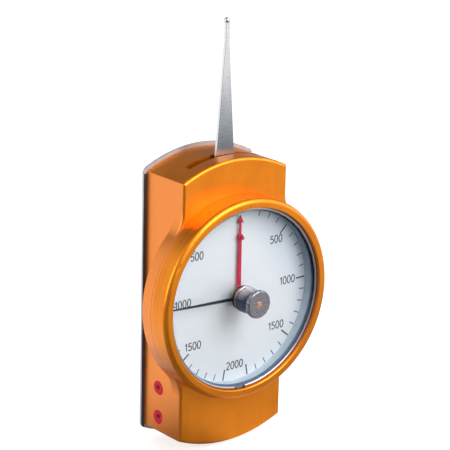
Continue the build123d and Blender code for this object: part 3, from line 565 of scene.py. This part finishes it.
# Ticks: thin boxes along the dial's radii, on both sides of the top. A mark of v thousands stands
# at 90.3 v - 2.7 v^2 degrees from the top.
def dialTicks(ink):
    look = dialPrint
    steps = round((look["last"] - look["first"]) / look["step"]) + 1
    values = np.linspace(look["first"], look["last"], steps)
    linear, square = look["curve"]
    angles = np.radians(linear * values + square * values ** 2)
    isLong = np.isclose(np.round(values / look["long"]) * look["long"], values)
    angles, isLong = np.concatenate([angles, -angles]), np.concatenate([isLong, isLong])
    inner = np.where(isLong, look["innerLong"], look["innerShort"])[:, None]
    half = np.where(isLong, look["widthLong"], look["widthShort"])[:, None] / 2
    flat = np.zeros_like(angles)
    outward = np.stack([np.sin(angles), flat, np.cos(angles)], 1)
    beside = np.stack([np.cos(angles), flat, -np.sin(angles)], 1) * half
    near, far = outward * inner, outward * look["outer"]
    ring = np.stack([near - beside, near + beside, far + beside, far - beside], 1)
    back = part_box("dial")[0].y / mm
    corners = np.concatenate([ring, ring], 1)
    corners[:, :4, 1], corners[:, 4:, 1] = back - look["thickness"], back
    faces = boxFaces(len(corners))
    makePiece("dialTicks", corners.reshape(-1, 3), faces, ink, "case")


# The dial's digits as engraved strokes on a field one unit high: a stroke is a line of points, and
# the zero is one closed stroke. An arc has a middle, two radii and its first and last angle.
def arc(middle, radii, first, last, count=14):
    angle = np.radians(np.linspace(first, last, count))
    return np.array(middle) + np.array(radii) * np.stack([np.cos(angle), np.sin(angle)], 1)


digits = {
    "0": (0.54, [arc((0.27, 0.5), (0.25, 0.5), 0, 360, 33)]),
    "1": (0.36, [np.array([(0.06, 0.74), (0.28, 1.0)]), np.array([(0.27, 1.0), (0.27, 0.0)])]),
    "2": (0.54, [arc((0.27, 0.73), (0.23, 0.27), 165, -38), np.array([(0.455, 0.57), (0.04, 0.02)]),
                 np.array([(0.02, 0.04), (0.52, 0.04)])]),
    "5": (0.54, [np.array([(0.50, 0.96), (0.09, 0.96)]), np.array([(0.11, 1.0), (0.08, 0.52)]),
                 arc((0.26, 0.32), (0.25, 0.30), 140, -150)]),
}


# Band of a given width along a stroke: at each point of it four corners, half the width to either
# side and at the front and the back level. A closed stroke meets itself without a step.
def band(stroke, width, front, back):
    heading = np.gradient(stroke, axis=0)
    if np.allclose(stroke[0], stroke[-1]):
        heading[[0, -1]] = heading[0] + heading[-1]
    heading = heading / np.linalg.norm(heading, axis=1, keepdims=True)
    side = np.stack([-heading[:, 1], heading[:, 0]], 1) * width / 2
    left, right = stroke + side, stroke - side
    level = np.array([front, front, back, back])
    flat = np.stack([left, right, right, left], 1)
    corners = np.stack([flat[..., 0], np.broadcast_to(level, flat.shape[:2]), flat[..., 1]], -1)
    start = 4 * np.arange(len(stroke) - 1)[:, None]
    here, after = start + np.arange(4), start + (np.arange(4) + 1) % 4
    walls = np.stack([here, here + 4, after + 4, after], -1).reshape(-1, 4)
    last = 4 * (len(stroke) - 1)
    ends = [[0, 1, 2, 3], [last + 3, last + 2, last + 1, last]]
    return corners.reshape(-1, 3), np.concatenate([walls, ends])


# A number of the dial, centred on (x, z)
def numeral(name, text, x, z, ink):
    look = dialPrint
    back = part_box("dial")[0].y / mm
    front = back - look["thickness"]
    widths = [digits[digit][0] for digit in text]
    total = sum(widths) + look["gap"] * (len(text) - 1)
    pen = -total / 2
    points, faces, count = [], [], 0
    for digit, width in zip(text, widths):
        for stroke in digits[digit][1]:
            placed = (stroke + [pen, -0.5]) * look["height"] + [x, z]
            corners, quads = band(placed, look["stroke"], front, back)
            points.append(corners)
            faces.append(quads + count)
            count += len(corners)
        pen += width + look["gap"]
    points, faces = np.concatenate(points), np.concatenate(faces).tolist()
    makePiece(name, points, faces, ink, "case")


def dialNumerals(ink):
    for text, (x, z) in dialPrint["numerals"].items():
        numeral(f"right{text}", text, x, z, ink)
        numeral(f"left{text}", text, dialPrint["leftShift"] - x, z, ink)
    text, (x, z) = dialPrint["bottom"]
    numeral(f"middle{text}", text, x, z, ink)


ink = printInk()
dialTicks(ink)
dialNumerals(ink)
print("dial: scale and numerals")


# The gap's place is in degrees from the top; its opening and the wire's width are in millimetres.
snapRing = {"turns": 160, "around": 16, "gap": 183.0, "open": 3.0, "width": 0.90}


# Retaining ring: a flattened wire of elliptical section bent round the bore, open for a short gap.
# Its points are the ring's middle circle plus a cos b outwards and c sin b along the axis, a and c
# being half its width and half its thickness.
def retainingWire():
    low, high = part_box("retaining_ring")
    outer, width = high.x / mm, snapRing["width"]
    thick = (high.y - low.y) / mm
    middle, level = outer - width / 2, (high.y + low.y) / 2 / mm
    half = np.degrees(snapRing["open"] / 2 / middle)
    first, final = snapRing["gap"] + half, snapRing["gap"] - half + 360
    turn = np.radians(np.linspace(first, final, snapRing["turns"]))[:, None]
    around = np.linspace(0, 2 * np.pi, snapRing["around"], endpoint=False)[None]
    radius = middle + width / 2 * np.cos(around)
    depth = level + thick / 2 * np.sin(around) + 0 * turn
    points = np.stack([radius * np.sin(turn), depth, radius * np.cos(turn)], -1)
    here = np.arange(snapRing["around"])
    after = (here + 1) % snapRing["around"]
    start = np.arange(snapRing["turns"] - 1)[:, None] * snapRing["around"]
    faces = np.stack([start + here, start + after, start + after + snapRing["around"],
                      start + here + snapRing["around"]], -1).reshape(-1, 4).tolist()
    last = (snapRing["turns"] - 1) * snapRing["around"]
    faces += [here[::-1].tolist(), (last + here).tolist()]
    wire = makePiece("retainingWire", points.reshape(-1, 3), faces, ownFinish["retaining_ring"],
                     "case", True)
    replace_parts(wire, "retaining_ring")


retainingWire()
print("retaining ring: flattened wire")


# Sum of waves round a circle; each wave has its count, its size and what it turns with the seed
def ripple(angle, seed, waves):
    return sum(size * np.sin(count * angle + turn * seed) for count, size, turn in waves)


# Drop of sealing lacquer on the wall, over a wavy disc of radius R (edge + small waves). With t the
# share of the radius, its height is h (1 - t^4) (lump + small waves), less a pit p exp(-d^2 / w^2)
# where the lacquer sank into the screw's hole, d being the distance from the pit's middle.
def lacquerDrop(name, height, seed):
    look = sealDrops
    rings, spokes, wall = look["rings"], look["spokes"], look["wall"]
    share = np.linspace(0, 1, rings + 1)[1:, None]
    angle = np.linspace(0, 2 * np.pi, spokes, endpoint=False)[None]
    edge = look["edge"] + ripple(angle, seed, look["edgeWaves"])
    across, up = share * np.cos(angle), share * np.sin(angle)
    lump = look["lump"] + ripple(angle, seed, look["sideLump"]) * share
    lump = lump + ripple(angle, seed, look["fineLump"]) * share ** 2
    pitAcross, pitUp = look["pitAside"][0] * np.cos(seed), look["pitAside"][1] * np.sin(2 * seed)
    pitAway = (across - pitAcross) ** 2 + look["pitFlatness"] * (up - pitUp) ** 2
    pit = (look["pit"] + look["rise"]) * np.exp(-pitAway / look["pitWidth"] ** 2)
    x = wall - (look["rise"] * (1 - share ** 4) * lump - pit)
    y = -look["back"] + look["radius"] * edge * across
    z = height + look["radius"] * edge * up
    top = np.stack([x, y, z], -1).reshape(-1, 3)
    middleRise = look["rise"] * look["lump"] - pit[0, 0]
    crown = [[wall - middleRise, -look["back"], height]]
    under = top[-spokes:] * [0, 1, 1] + [wall + look["sink"], 0, 0]
    foot = [[wall + look["sink"], -look["back"], height]]
    points = np.concatenate([top, under, foot, crown])
    here, after = np.arange(spokes), (np.arange(spokes) + 1) % spokes
    ring = np.arange(rings)[:, None] * spokes
    walls = np.stack([ring + here, ring + after, ring + spokes + after, ring + spokes + here], -1)
    footAt = np.full(spokes, (rings + 1) * spokes)
    closing = np.stack([footAt, rings * spokes + here, rings * spokes + after], -1)
    opening = np.stack([footAt + 1, after, here], -1)
    faces = walls.reshape(-1, 4).tolist() + closing.tolist() + opening.tolist()
    red = finishes["sealing_lacquer"]
    return makePiece(name, points, faces, red, "case", True)


for number, (height, seed) in enumerate(zip(sealDrops["heights"], sealDrops["seeds"])):
    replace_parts(lacquerDrop(f"sealDrop{number}", height, seed), "seal_lacquer")
print("seal drops:", len(sealDrops["heights"]))


# A way is a direction, whose parts weigh x, y and z, and a span is where a change along it starts
# and ends. The floor's places and spans are in millimetres, the lamps' places and sizes in metres.
studio = {
    "floorDrop": 0.3, "floorSize": 3.0, "white": 0.90, "lift": 0.69,
    "frontWay": (0.63, -0.77), "frontSpan": (-60.0, 50.0), "frontFloor": 0.50, "backFloor": 1.15,
    "closeFloor": 0.28, "closeSpan": (25.0, 62.0), "farFloor": 0.33, "farSpan": (90.0, 240.0),
    "shadeAt": (-20.0, 5.0), "shadeSpan": (14.0, 42.0), "shadeDepth": 0.40,
    "asideWay": (-0.77, -0.63), "asideSpan": (0.45, 0.85), "skySpan": (0.5, 0.9),
    "asideDepth": 0.75,
    "behindWay": (0.6, 0.75, 1.4), "behindSpan": (0.75, 1.25), "dark": 0.25,
    "beforeWay": (0.5, -0.75, 0.45), "beforeSpan": (0.35, 0.80), "front": 2.1, "ambient": 0.36,
    "lamps": {
        "key": {"at": (0.22, -0.62, 0.52), "size": 0.62, "watts": 4.9},
        "left": {"at": (-0.80, 0.05, 0.22), "size": 0.50, "watts": 2.3},
    },
}


def grey(level):
    return level, level, level


# Pale sweep: matt white, and for metal a floor that is dimmer before the object and to one side
def buildFloor():
    half = studio["floorSize"] / 2
    level = cadBox[0][2] - studio["floorDrop"] * mm
    mesh = bpy.data.meshes.new("floor")
    square = ((-half, -half), (half, -half), (half, half), (-half, half))
    mesh.from_pydata([(x, y, level) for x, y in square], [], [(0, 1, 2, 3)])
    floor = bpy.data.objects.new("floor", mesh)
    bpy.context.scene.collection.objects.link(floor)
    sweep = Finish("floorWhite", Roughness=1.0, Specular_IOR_Level=0.0, Emission_Strength=1.0)
    sweep.set("Base Color", (*grey(studio["white"]), 1.0))
    path = sweep.add("ShaderNodeLightPath").outputs
    seen = Value(sweep.tree, path["Is Camera Ray"]) + Value(sweep.tree, path["Is Transmission Ray"])
    sweep.set("Emission Color", sweep.tint(seen.clamped(), grey(0.0), grey(studio["lift"])))
    forward = along((sweep.x, sweep.y), studio["frontWay"]).rise(*studio["frontSpan"])
    away = sweep.awayInPlan(0.0, 0.0)
    close = (1.0 - away.rise(*studio["closeSpan"])) * studio["closeFloor"]
    front = studio["frontFloor"] + close + away.rise(*studio["farSpan"]) * studio["farFloor"]
    unshaded = sweep.awayInPlan(*studio["shadeAt"]).rise(*studio["shadeSpan"])
    aside = (along((sweep.x, sweep.y), studio["asideWay"]) / away).rise(*studio["asideSpan"])
    shade = (1.0 - (1.0 - unshaded) * studio["shadeDepth"]) * (1.0 - aside * studio["asideDepth"])
    brightest = studio["backFloor"]
    shine = (forward * front + (1.0 - forward) * brightest) * shade
    tone = sweep.tint(shine / brightest, grey(0.0), grey(1.0))
    glow = sweep.add("ShaderNodeEmission", sockets={"Color": tone, "Strength": brightest})
    sweep.finishWith(path["Is Glossy Ray"], sweep.shader.outputs[0], glow.outputs[0])
    mesh.materials.append(sweep.material)


# World: even light for matt surfaces, white for the camera, and for metal a bright front, a pale
# horizon, a dark studio above and behind and a dark strip to one side
def buildWorld():
    world = bpy.data.worlds.new("studio")
    bpy.context.scene.world = world
    world.use_nodes = True
    tree = world.node_tree
    back = tree.nodes["Background"]
    back.inputs["Color"].default_value = (*grey(1.0), 1.0)
    way = tree.nodes.new("ShaderNodeTexCoord").outputs["Generated"]
    parts = tree.nodes.new("ShaderNodeSeparateXYZ")
    tree.links.new(way, parts.inputs[0])
    axes = [Value(tree, socket) for socket in parts.outputs]
    path = tree.nodes.new("ShaderNodeLightPath")
    kinds = ("Camera", "Transmission", "Glossy")
    camera, clear, glossy = (Value(tree, path.outputs[f"Is {kind} Ray"]) for kind in kinds)
    behind = along(axes, studio["behindWay"]).rise(*studio["behindSpan"])
    before = along(axes, studio["beforeWay"]).rise(*studio["beforeSpan"])
    aside = along(axes, studio["asideWay"]).rise(*studio["skySpan"])
    shine = 1.0 - behind * (1.0 - studio["dark"]) + before * (studio["front"] - 1.0)
    shine = shine * (1.0 - aside * studio["asideDepth"])
    seen = (camera + clear).clamped()
    strength = seen + (1.0 - seen) * (glossy * shine + (1.0 - glossy) * studio["ambient"])
    plug(tree, strength, back.inputs["Strength"])


def buildLamps():
    for name, look in studio["lamps"].items():
        lamp = bpy.data.lights.new(name, "AREA")
        lamp.energy, lamp.size = look["watts"], look["size"]
        holder = bpy.data.objects.new(name, lamp)
        bpy.context.scene.collection.objects.link(holder)
        holder.location = look["at"]
        away = holder.location - (cadBox[0] + cadBox[1]) / 2
        holder.rotation_euler = away.to_track_quat("Z", "Y").to_euler()


# Angles are in radians and lengths in millimetres; the lens is given by its focal length in pixels.
viewpoint = {
    "azimuth": -0.6856649, "elevation": 0.29453743, "roll": 0.02384469, "distance": 577.0347,
    "across": -2.586, "up": 20.446, "frontFace": 18.65,
    "focal": 1946.8928, "pixels": 450, "sensor": 36.0, "clipStart": 10.0,
}


# The camera's axes come from its azimuth and elevation about the point where the dial's axis meets
# the block's front, turned by a small roll.
def buildCamera():
    az, el, roll = viewpoint["azimuth"], viewpoint["elevation"], viewpoint["roll"]
    back = np.array([np.sin(az) * np.cos(el), -np.cos(az) * np.cos(el), np.sin(el)])
    level = np.array([np.cos(az), np.sin(az), 0.0])
    upright = np.cross(back, level)
    right = np.cos(roll) * level + np.sin(roll) * upright
    up = -np.sin(roll) * level + np.cos(roll) * upright
    eye = right * viewpoint["across"] + up * viewpoint["up"] + back * viewpoint["distance"]
    eye = (eye - [0, viewpoint["frontFace"], 0]) * mm
    camera = bpy.data.cameras.new("camera")
    camera.sensor_width = viewpoint["sensor"]
    camera.lens = viewpoint["focal"] / viewpoint["pixels"] * viewpoint["sensor"]
    camera.clip_start = viewpoint["clipStart"] * mm
    holder = bpy.data.objects.new("camera", camera)
    bpy.context.scene.collection.objects.link(holder)
    matrix = np.eye(4)
    matrix[:3, 0], matrix[:3, 1], matrix[:3, 2], matrix[:3, 3] = right, up, back, eye
    holder.matrix_world = Matrix(matrix.tolist())
    bpy.context.scene.camera = holder


buildFloor()
buildWorld()
buildLamps()
buildCamera()
bpy.context.scene.view_settings.view_transform = "Standard"
print("studio: floor, world, lamps and camera")
